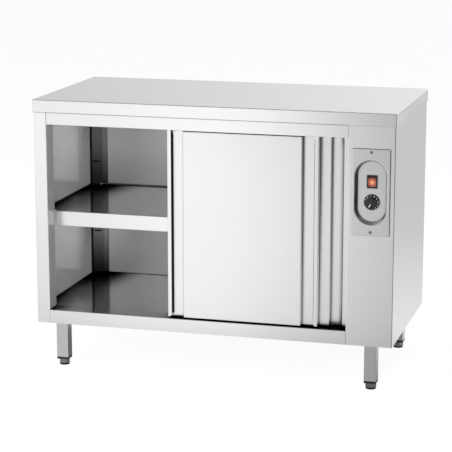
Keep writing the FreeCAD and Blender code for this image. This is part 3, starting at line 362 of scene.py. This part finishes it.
def zincPlatedSteel(name, colour=zincPlating["colour"], padTop=None):
    material, tree = newMaterial(name)
    pits = noise(tree, zincPlating["pit"], detail=3.0)
    base = linearColour(colour)
    tone = blendColours(tree, pits, dulled(base, zincPlating["pitTone"]), base)
    metallic = 1.0
    roughness = around(tree, pits, zincPlating["roughness"], zincPlating["swing"])
    if padTop is not None:
        mask = inside(tree, [below(axisZ, padTop)])
        tone = blendColours(tree, mask, tone, linearColour(footPad["colour"]))
        metallic = calc(tree, "SUBTRACT", 1.0, mask)
        rougher = calc(tree, "MULTIPLY", mask, footPad["rougher"])
        roughness = calc(tree, "ADD", roughness, rougher)
    return principled(material, Base_Color=tone, Metallic=metallic, Roughness=roughness,
                      Normal=bumps(tree, pits, zincPlating["bump"], zincPlating["pitDepth"]))


# Moulded plastics and rubber: one even colour broken by the fine spark grain of the mould
moulded = {"grainTone": 0.88, "bump": 0.3, "swing": 0.05, "ior": 1.5}


def mouldedPlastic(name, colour, roughness, grainMm, depthMm):
    material, tree = newMaterial(name)
    grain = noise(tree, grainMm, detail=2.0)
    base = linearColour(colour)
    tone = blendColours(tree, grain, dulled(base, moulded["grainTone"]), base)
    return principled(material, Base_Color=tone, IOR=moulded["ior"],
                      Roughness=around(tree, grain, roughness, moulded["swing"]),
                      Normal=bumps(tree, grain, moulded["bump"], depthMm))


# Raw particle board: pale and dark wood chips a few millimetres long
board = {"chip": 4.0, "dark": "#A98A5C", "pale": "#D9BF92", "roughness": 0.85}


def particleBoard(name):
    material, tree = newMaterial(name)
    tone = twoTones(tree, flakes(tree, board["chip"]), board)
    return principled(material, Base_Color=tone, Roughness=board["roughness"])


# Mineral wool slab: matted yellow fibres, with no shine
wool = {"fibre": (2.0, 14.0, 2.0), "dark": "#A8964F", "pale": "#E0D293", "roughness": 0.95,
        "bump": 0.6, "depth": 1.0}


def mineralWool(name):
    material, tree = newMaterial(name)
    fibres = noise(tree, wool["fibre"], detail=5.0)
    return principled(material, Base_Color=twoTones(tree, fibres, wool),
                      Roughness=wool["roughness"],
                      Normal=bumps(tree, fibres, wool["bump"], wool["depth"]))


# Motor enamel: thick dipped black paint with a slight orange peel
enamel = {"peel": 2.5, "dark": "#1A1B1D", "pale": "#26282B", "roughness": 0.3, "coat": 0.3,
          "bump": 0.2, "depth": 0.1}


def motorEnamel(name):
    material, tree = newMaterial(name)
    peel = noise(tree, enamel["peel"], detail=1.0)
    return principled(material, Base_Color=twoTones(tree, peel, enamel),
                      Roughness=enamel["roughness"], Coat_Weight=enamel["coat"],
                      Normal=bumps(tree, peel, enamel["bump"], enamel["depth"]))


# Pressed aluminium, mill finish: soft grey shine with rolling lines
aluminium = {"line": (1.5, 1.5, 60.0), "dark": "#C4C6C8", "pale": "#DDDEE0",
             "roughness": 0.38, "swing": 0.06}


def pressedAluminium(name):
    material, tree = newMaterial(name)
    rolling = noise(tree, aluminium["line"], detail=3.0)
    return principled(material, Base_Color=twoTones(tree, rolling, aluminium), Metallic=1.0,
                      Roughness=around(tree, rolling, aluminium["roughness"],
                                       aluminium["swing"]))


# Stainless element sheath that has been hot: straw and blue-grey tints in patches
sheath = {"patch": 35.0, "dark": "#6E6A68", "pale": "#A38F6D", "roughness": 0.4,
          "swing": 0.08}


def heatTintedSheath(name):
    material, tree = newMaterial(name)
    patches = noise(tree, sheath["patch"], detail=2.0)
    return principled(material, Base_Color=twoTones(tree, patches, sheath), Metallic=1.0,
                      Roughness=around(tree, patches, sheath["roughness"], sheath["swing"]))


# Moulded tinted lens with a neon lamp behind its middle: pale yellow over the lamp, then
# orange, then deep red at the edges
lens = {
    "colour": "#3A1812",
    "roughness": 0.12,
    "ior": 1.49,
    "glow": 1.15,
    "reach": 19.0,
    "lampAside": 0.8,
    "lampBelow": 2.0,
    "steps": ((0.0, "#FFE8C0"), (0.15, "#F0B07C"), (0.34, "#BC7452"), (0.58, "#8C4C3E"),
              (0.82, "#54261F"), (1.0, "#2A1210")),
}


def tintedLens(name, rocker):
    material, tree = newMaterial(name)
    low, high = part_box(rocker)
    lamp = ((low.x + high.x) / 2 + lens["lampAside"] * mm, low.y,
            (low.z + high.z) / 2 - lens["lampBelow"] * mm)
    away = addNode(tree, "ShaderNodeVectorMath", {"operation": "DISTANCE"},
                   i0=objectPlace(tree), i1=lamp).outputs["Value"]
    share = calc(tree, "DIVIDE", away, lens["reach"] * mm, True)
    return principled(material, Base_Color=linearColour(lens["colour"]),
                      Roughness=lens["roughness"], IOR=lens["ior"],
                      Emission_Color=steps(tree, share, lens["steps"]),
                      Emission_Strength=lens["glow"])


# White printing ink, with a slightly uneven cover
inkCover = {"patch": 0.6, "dark": "#D8D8D4", "pale": "#F4F4F0", "roughness": 0.5}


def printedInk(name):
    material, tree = newMaterial(name)
    cover = noise(tree, inkCover["patch"], detail=2.0)
    return principled(material, Base_Color=twoTones(tree, cover, inkCover),
                      Roughness=inkCover["roughness"])


def shareFinish(names, material):
    for name in names:
        for slot in nodes[name].material_slots:
            slot.material = material


# Worktop, rails and base: brushed along their length
def dressCarcass():
    shareFinish(["worktop", "top_rail", "base_pan"],
                brushedStainless("stainless_brushed_along", axisX))


# Deck and shelf: level sheets with a bright upper face. Their left end, between the side wall
# and the rear post, is in shade, and so is the deck behind the doors.
level = {
    "deckSheet": 0.5,
    "cornerWidth": 200.0,
    "cornerFade": 120.0,
    "cornerReach": 260.0,
    "doorClearance": 10.0,
    "underDoorsReach": 200.0,
    "rimDepth": 30.0,
    "rimShadeColour": "#4A4A4A",
}


def leftCorner():
    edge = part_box("shelf")[0].x + level["cornerWidth"] * mm
    return level["cornerReach"], [facing(axisZ, 1),
                                  below(axisX, edge, level["cornerFade"] * mm)]


def dressDeck():
    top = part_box("floor_pan")[1].z
    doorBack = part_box("rear_door_skin")[1].y
    bright = [facing(axisZ, 1), above(axisZ, top - level["deckSheet"] * mm)]
    underDoors = [below(axisY, doorBack + level["doorClearance"] * mm)]
    shareFinish(["floor_pan"], brushedStainless(
        "stainless_brushed_bright_deck", axisX, bright=bright,
        shaded=[(level["underDoorsReach"], underDoors), leftCorner()]))


def dressShelf():
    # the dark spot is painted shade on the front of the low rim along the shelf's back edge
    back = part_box("shelf")[1].y
    rim = [facing(axisY, -1), above(axisY, back - level["rimDepth"] * mm)]
    shareFinish(["shelf"], brushedStainless(
        "stainless_brushed_bright_shelf", axisX, bright=[facing(axisZ, 1)],
        dark=(rim, level["rimShadeColour"], 0.0), shaded=[leftCorner()]))


# Side panels: the left one is bright towards the chamber and has painted shade just behind its
# stile, where little light gets in, and the right one has painted shade on the bend at the
# column's edge
side = {
    "wallMetal": 0.5,
    "stileDepth": 60.0,
    "stileTurn": 0.5,
    "stileShadeColour": "#939392",
    "stileShadeMetal": 0.1,
    "bendTurn": 0.25,
    "bendShadeColour": "#707070",
}


def dressSidePanels():
    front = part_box("left_side_panel")[0].y
    behindStile = [facing(axisX, 1, -side["stileTurn"]), facing(axisY, 1, -side["stileTurn"]),
                   below(axisY, front + side["stileDepth"] * mm)]
    shareFinish(["left_side_panel"], brushedStainless(
        "stainless_brushed_bright_wall", axisZ, bright=[facing(axisX, 1)],
        brightMetal=side["wallMetal"],
        dark=(behindStile, side["stileShadeColour"], side["stileShadeMetal"])))
    bend = [facing(axisX, 1, side["bendTurn"]), facing(axisY, -1, side["bendTurn"])]
    shareFinish(["right_side_panel"], brushedStainless(
        "stainless_brushed_column", axisZ, reach=crease["faceReach"],
        dark=(bend, side["bendShadeColour"], 1.0)))


# Doors: the front one has a painted shadow line under the top rail, the rear one painted shade
# beside the column, and both painted shade in the hollow behind their grip slots, between their
# two sheets. The shadow line lies lower the further the door stands back from the rail.
door = {
    "railLean": 0.2,
    "railGap": 3.0,
    "railShadowColour": "#1C1C1C",
    "columnReach": 80.0,
    "columnWidth": 30.0,
    "columnFade": 14.0,
    "hollowDepth": 7.0,
    "linerSheet": 0.4,
    "hollowShadeColour": "#0C0C0C",
}


def dressDoors():
    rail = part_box("top_rail")[0]
    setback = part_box("front_door_skin")[0].y - rail.y
    shadowLine = rail.z - door["railLean"] * setback - door["railGap"] * mm
    shareFinish(["front_door_skin"], brushedStainless(
        "stainless_brushed_front_door", axisZ, reach=crease["doorReach"],
        dark=([above(axisZ, shadowLine)], door["railShadowColour"], 0.0)))
    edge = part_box("rear_door_skin")[1].x - door["columnWidth"] * mm
    besideColumn = [above(axisX, edge, door["columnFade"] * mm)]
    shareFinish(["rear_door_skin"], brushedStainless(
        "stainless_brushed_rear_door", axisZ, reach=crease["doorReach"],
        shaded=[(door["columnReach"], besideColumn)]))
    sheet = door["linerSheet"] * mm
    for liner in ("front_door_liner", "rear_door_liner"):
        low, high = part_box(liner)
        hollow = [above(axisY, high.y - door["hollowDepth"] * mm),
                  below(axisY, high.y - sheet),
                  above(axisX, low.x + sheet), below(axisX, high.x - sheet)]
        shareFinish([liner], brushedStainless("stainless_brushed_" + liner, axisZ,
                                              dark=(hollow, door["hollowShadeColour"], 0.0)))


# Control plate: satin, with painted shade on the pressed wall between its face and the floor of
# its dish
plate = {
    "colour": "#D9D9D8",
    "faceDepth": 3.2,
    "floorDepth": 1.8,
    "wallLevel": 0.8,
    "wallFade": 0.3,
    "wallShadeColour": "#565656",
}


def dressPlate():
    low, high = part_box("control_plate")
    wall = [above(axisY, low.y + plate["faceDepth"] * mm),
            below(axisY, high.y - plate["floorDepth"] * mm),
            facing(axisZ, -1, -plate["wallLevel"], plate["wallFade"])]
    shareFinish(["control_plate"], brushedStainless(
        "stainless_satin_plate", axisZ, colour=plate["colour"], reach=crease["plateReach"],
        dark=(wall, plate["wallShadeColour"], 1.0)))
    shareFinish(["control_plate_screws"],
                brightStainless("stainless_screws", "#8C8C8B", roughness=0.2))


# Chamber: a matt back wall with painted shade in the corner that the left rear post closes off,
# and slotted posts darkened with painted shade
chamber = {"cornerWidth": 38.0, "cornerShadeColour": "#0C0C0C"}


def dressChamber():
    shareFinish(["ceiling_panel", "chamber_partition", "shelf_brackets", "fan_guard"],
                brightStainless("stainless_bright_annealed", "#E2E3E2", roughness=0.12))
    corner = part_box("inner_back_wall")[0].x + chamber["cornerWidth"] * mm
    shareFinish(["inner_back_wall"], brightStainless(
        "stainless_matt_back", "#AAAAA9", roughness=0.3, metallic=0.62,
        dark=([below(axisX, corner)], chamber["cornerShadeColour"], 0.0)))
    shareFinish(["corner_posts"],
                brightStainless("stainless_posts_painted_shade", "#858685", roughness=0.3))


# Legs of ground tube, their plugs, and feet whose hexagon stands on a moulded pad
def dressLegs():
    corners = ("front_left", "front_right", "rear_left", "rear_right")
    shareFinish(["leg_" + corner for corner in corners],
                brushedStainless("stainless_tube_ground", axisZ, colour="#C8C8C7"))
    shareFinish(["leg_caps"], mouldedPlastic("polyamide_black", "#0D0D0D", roughness=0.5,
                                             grainMm=0.9, depthMm=0.05))
    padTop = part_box("foot_front_left")[0].z + footPad["height"] * mm
    shareFinish(["foot_" + corner for corner in corners],
                zincPlatedSteel("zinc_plated_on_pad", "#8B8C8D", padTop))


# Fittings: rollers, guide, stops, switch, lamp and knob
def dressFittings():
    shareFinish(["front_door_roller_left", "front_door_roller_right", "rear_door_roller_left",
                 "rear_door_roller_right", "door_guide", "terminal_block"],
                mouldedPlastic("nylon_natural", "#E4E1D6", roughness=0.45, grainMm=1.2,
                               depthMm=0.03))
    shareFinish(["door_buffers"], mouldedPlastic("rubber_grey", "#4A4A4A", roughness=0.8,
                                                 grainMm=0.7, depthMm=0.08))
    shareFinish(["switch_body", "thermostat_body", "cable_gland"],
                mouldedPlastic("plastic_black", "#151515", roughness=0.34, grainMm=0.8,
                               depthMm=0.02))
    shareFinish(["switch_rocker"], tintedLens("lens_amber", "switch_rocker"))
    shareFinish(["thermostat_knob"], mouldedPlastic("phenolic_black", "#121212",
                                                    roughness=0.21, grainMm=0.6,
                                                    depthMm=0.01))


# The rest, mostly inside the carcass
def dressInside():
    shareFinish(["back_panel", "worktop_stiffeners", "base_channels", "air_duct",
                 "front_door_channels", "rear_door_channels"], galvanisedSheet("galvanised"))
    shareFinish(["back_panel_screws", "leg_bolts", "door_tracks", "front_door_hangers",
                 "rear_door_hangers", "thermostat_shaft"], zincPlatedSteel("zinc_plated"))
    shareFinish(["worktop_core"], particleBoard("particle_board_raw"))
    shareFinish(["rear_insulation", "floor_insulation", "front_door_core", "rear_door_core"],
                mineralWool("mineral_wool_slab"))
    shareFinish(["fan_motor"], motorEnamel("enamel_black"))
    shareFinish(["fan_impeller"], pressedAluminium("aluminium_pressed"))
    shareFinish(["heating_element"], heatTintedSheath("sheath_heat_tinted"))


for dress in (dressCarcass, dressDeck, dressShelf, dressSidePanels, dressDoors, dressPlate,
              dressChamber, dressLegs, dressFittings, dressInside):
    dress()
print("finishes assigned")


# Printed marks of the thermostat knob: plain numbers round its skirt and a pointer line
knobPrint = {
    "numbers": 8,
    "firstDegrees": -67.5,
    "stepDegrees": 30.0,
    "ring": 20.6,
    "skirt": 4.5,
    "textHeight": 4.6,
    "ink": 0.05,
    "pointerDegrees": 204.0,
    "pointerStart": 3.5,
    "pointerLength": 10.5,
    "pointerWidth": 1.2,
}


def printNumbers(ink):
    low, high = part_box("thermostat_knob")
    middle = Vector(((low.x + high.x) / 2, 0, (low.z + high.z) / 2))
    marks = []
    for number in range(knobPrint["numbers"]):
        curve = bpy.data.curves.new("knob_number", "FONT")
        curve.body = str(number + 1)
        curve.size = knobPrint["textHeight"] * mm
        curve.align_x = "CENTER"
        curve.align_y = "CENTER"
        curve.extrude = knobPrint["ink"] * mm
        text = bpy.data.objects.new("knob_number", curve)
        bpy.context.scene.collection.objects.link(text)
        turn = math.radians(knobPrint["firstDegrees"] + number * knobPrint["stepDegrees"])
        place = middle + Vector((math.sin(turn), 0, math.cos(turn))) * knobPrint["ring"] * mm
        place.y = high.y - knobPrint["skirt"] * mm
        text.matrix_world = (Matrix.Translation(place) @ Matrix.Rotation(turn, 4, "Y")
                             @ Matrix.Rotation(math.pi / 2, 4, "X"))
        marks.append(text)
    bpy.context.view_layer.update()
    depsgraph = bpy.context.evaluated_depsgraph_get()
    for index, text in enumerate(marks):
        mesh = bpy.data.meshes.new_from_object(text.evaluated_get(depsgraph))
        mesh.transform(text.matrix_world)
        mesh.materials.clear()
        mesh.materials.append(ink)
        piece = bpy.data.objects.new("knob_number_" + str(index + 1), mesh)
        bpy.context.scene.collection.objects.link(piece)
        bpy.data.objects.remove(text)
        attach(piece, "thermostat_knob")


def printPointer(ink):
    low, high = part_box("thermostat_knob")
    middle = Vector(((low.x + high.x) / 2, 0, (low.z + high.z) / 2))
    turn = math.radians(knobPrint["pointerDegrees"])
    start = knobPrint["pointerStart"]
    end = start + knobPrint["pointerLength"]
    half = knobPrint["pointerWidth"] / 2
    corners = [(-half, start), (half, start), (half, end), (-half, end)]
    points = []
    for depth in (low.y - knobPrint["ink"] * mm, low.y):
        for across, out in corners:
            flat = Vector((across, 0, out)) * mm
            flat.rotate(Matrix.Rotation(turn, 3, "Y"))
            points.append((middle.x + flat.x, depth, middle.z + flat.z))
    faces = [(0, 1, 2, 3), (7, 6, 5, 4)]
    faces += [(i, i + 4, (i + 1) % 4 + 4, (i + 1) % 4) for i in range(4)]
    mesh = bpy.data.meshes.new("knob_pointer")
    mesh.from_pydata(points, [], faces)
    mesh.materials.append(ink)
    pointer = bpy.data.objects.new("knob_pointer", mesh)
    bpy.context.scene.collection.objects.link(pointer)
    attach(pointer, "thermostat_knob")


whiteInk = printedInk("printed_white")
printNumbers(whiteInk)
printPointer(whiteInk)
print("knob printed")


# What metal mirrors: a pale studio, brightest on the floor at the left in front of the
# cabinet, falling off to the right, and darker under the cabinet and where the camera's stand
# is. Places are in metres and directions are cosines, each pair being (place, strength).
studio = {
    "slant": 0.16,
    "frontFloor": ((-3.0, 0.76), (-1.5, 0.83), (-0.8, 0.95), (-0.3, 1.23), (0.05, 1.21),
                   (0.25, 0.97), (0.45, 0.81), (0.65, 0.64), (1.4, 0.40), (3.0, 0.15)),
    "farLeft": ((-1.5, 1.0), (-5.0, 1.62)),
    "farRight": ((-3.3, 1.0), (-5.4, 0.25)),
    "rightShare": ((-0.2, 0.0), (0.3, 1.0)),
    "nearFloor": ((-1.15, 1.0), (-0.75, 0.80)),
    "backFloor": ((0.4, 1.0), (2.2, 0.70)),
    "backShare": ((-0.2, 0.0), (0.4, 1.0)),
    "beneath": 0.8,
    "beneathEdge": (-0.12, 0.04),  # past the cabinet's edge, from full shade to none
    "backdrop": ((-0.42, 0.73), (-0.14, 1.12)),
    "frontWall": ((-0.32, 1.05), (-0.18, 0.6)),
    "frontShare": ((-0.3, 1.0), (0.1, 0.0)),
    "ceiling": ((0.42, 1.0), (0.8, 0.3)),
    "standAim": (0.34, -0.91, 0.24),
    "standEdge": (0.82, 0.97),
    "standShade": 0.18,
    "deeper": 2.4,
}


def deeperLight(tree, strength):
    # light that reaches the eye over two mirrors or more, as in the chamber, is made brighter,
    # because only four of the many reflections in a steel box are followed
    depth = addNode(tree, "ShaderNodeLightPath").outputs["Glossy Depth"]
    return calc(tree, "MULTIPLY", strength,
                between(tree, depth, (1.0, 1.0), (2.0, studio["deeper"])))


def floorBrightness(tree):
    axes = addNode(tree, "ShaderNodeSeparateXYZ", Vector=objectPlace(tree)).outputs
    lean = calc(tree, "MULTIPLY", axes[axisY], -studio["slant"])
    across = calc(tree, "ADD", axes[axisX], lean)
    first, last = studio["frontFloor"][0][0], studio["frontFloor"][-1][0]
    share = between(tree, across, (first, 0.0), (last, 1.0))
    stops = [((at - first) / (last - first), strength)
             for at, strength in studio["frontFloor"]]
    far = mixNumbers(tree, between(tree, across, *studio["rightShare"]),
                     between(tree, axes[axisY], *studio["farLeft"]),
                     between(tree, axes[axisY], *studio["farRight"]))
    near = between(tree, axes[axisY], *studio["nearFloor"])
    front = calc(tree, "MULTIPLY", steps(tree, share, stops),
                 calc(tree, "MULTIPLY", far, near))
    back = between(tree, axes[axisY], *studio["backFloor"])
    backShare = between(tree, axes[axisY], *studio["backShare"])
    inner, outer = studio["beneathEdge"]
    shadow = studio["beneath"]
    for axis in (axisX, axisY):
        away = calc(tree, "ABSOLUTE", axes[axis], 0.0)
        shadow = calc(tree, "MULTIPLY", shadow,
                      between(tree, away, (cadHigh[axis] + inner, 1.0),
                              (cadHigh[axis] + outer, 0.0)))
    return calc(tree, "MULTIPLY", mixNumbers(tree, backShare, front, back),
                calc(tree, "SUBTRACT", 1.0, shadow))


def worldBrightness(tree):
    # above the floor: the backdrop and the ceiling, and the dark stand in front
    towards = addNode(tree, "ShaderNodeTexCoord").outputs["Generated"]
    axes = addNode(tree, "ShaderNodeSeparateXYZ", Vector=towards).outputs
    backdrop = calc(tree, "MULTIPLY", between(tree, axes[axisX], *studio["backdrop"]),
                    between(tree, axes[axisZ], *studio["ceiling"]))
    frontWall = mixNumbers(tree, between(tree, axes[axisY], *studio["frontShare"]), 1.0,
                           between(tree, axes[axisX], *studio["frontWall"]))
    backdrop = calc(tree, "MULTIPLY", backdrop, frontWall)
    aim = Vector(studio["standAim"]).normalized()
    near = addNode(tree, "ShaderNodeVectorMath", {"operation": "DOT_PRODUCT"}, i0=towards,
                   i1=tuple(aim)).outputs["Value"]
    low, high = studio["standEdge"]
    stand = between(tree, near, (low, 0.0), (high, 1.0), True)
    return mixNumbers(tree, stand, backdrop, studio["standShade"])


def byRay(tree, lit, seen, mirrored):
    # one shader for lighting things up, one for the eye's own rays and one for mirrors
    path = addNode(tree, "ShaderNodeLightPath").outputs
    straight = calc(tree, "MAXIMUM", path["Is Camera Ray"], path["Is Transmission Ray"])
    eye = addNode(tree, "ShaderNodeMixShader", i0=straight, i1=lit.outputs[0],
                  i2=seen.outputs[0])
    return addNode(tree, "ShaderNodeMixShader", i0=path["Is Glossy Ray"], i1=eye.outputs[0],
                   i2=mirrored.outputs[0]).outputs[0]


# Floor: white to the eye, with the cabinet's shadow kept
floor = {"half": 30.0, "colour": "#E4E4E2", "shade": 0.14, "glow": 0.9, "speck": 400.0,
         "speckGlow": 0.004}


def layFloor():
    material, tree = newMaterial("floor_pale")
    lit = addNode(tree, "ShaderNodeBsdfDiffuse", Color=linearColour(floor["colour"]))
    faint = addNode(tree, "ShaderNodeBsdfDiffuse", Color=dulled(white, floor["shade"]))
    speck = noise(tree, floor["speck"], detail=1.0)
    glow = addNode(tree, "ShaderNodeEmission", Color=white,
                   Strength=around(tree, speck, floor["glow"], floor["speckGlow"]))
    seen = addNode(tree, "ShaderNodeAddShader", i0=faint.outputs[0], i1=glow.outputs[0])
    mirrored = addNode(tree, "ShaderNodeEmission", Color=white,
                       Strength=deeperLight(tree, floorBrightness(tree)))
    addNode(tree, "ShaderNodeOutputMaterial", Surface=byRay(tree, lit, seen, mirrored))
    half = floor["half"]
    mesh = bpy.data.meshes.new("floor")
    mesh.from_pydata([(-half, -half, 0), (half, -half, 0), (half, half, 0), (-half, half, 0)],
                     [], [(0, 1, 2, 3)])
    mesh.materials.append(material)
    plane = bpy.data.objects.new("floor", mesh)
    bpy.context.scene.collection.objects.link(plane)


# Light: soft boxes at the upper left front, at the right, overhead and level with the open
# chamber, and an even pale world
lamps = {
    "key": {"place": (-3.2, -4.2, 3.6), "aim": (0.0, -0.2, 0.55), "size": 4.2,
            "watts": 110.0, "mirrored": False},
    "fill": {"place": (4.2, -2.6, 2.4), "aim": (0.2, 0.0, 0.5), "size": 2.4,
             "watts": 10.0, "mirrored": True},
    "top": {"place": (0.0, 0.6, 4.4), "aim": (0.0, 0.0, 0.9), "size": 4.5,
            "watts": 45.0, "mirrored": False},
    "chamber": {"place": (0.9, -4.2, 1.1), "aim": (-0.35, 0.0, 0.5), "size": 1.6,
                "watts": 230.0, "mirrored": False},
}
worldLight = {"strength": 0.55, "colour": "#F4F6F8"}


def hangLamps():
    for name, lamp in lamps.items():
        data = bpy.data.lights.new("soft_" + name, "AREA")
        data.size = lamp["size"]
        data.energy = lamp["watts"]
        holder = bpy.data.objects.new("soft_" + name, data)
        bpy.context.scene.collection.objects.link(holder)
        holder.location = lamp["place"]
        holder.visible_glossy = lamp["mirrored"]
        direction = Vector(lamp["aim"]) - Vector(lamp["place"])
        holder.rotation_euler = direction.to_track_quat("-Z", "Y").to_euler()


def lightWorld():
    world = bpy.data.worlds.new("pale_world")
    bpy.context.scene.world = world
    world.use_nodes = True
    tree = world.node_tree
    tree.nodes.clear()
    soft = addNode(tree, "ShaderNodeBackground", Color=linearColour(worldLight["colour"]),
                   Strength=worldLight["strength"])
    plain = addNode(tree, "ShaderNodeBackground", Color=white, Strength=1.0)
    mirrored = addNode(tree, "ShaderNodeBackground", Color=white,
                       Strength=worldBrightness(tree))
    addNode(tree, "ShaderNodeOutputWorld", Surface=byRay(tree, soft, plain, mirrored))
    bpy.context.scene.view_settings.view_transform = "Standard"


layFloor()
hangLamps()
lightWorld()
print("floor and light set")
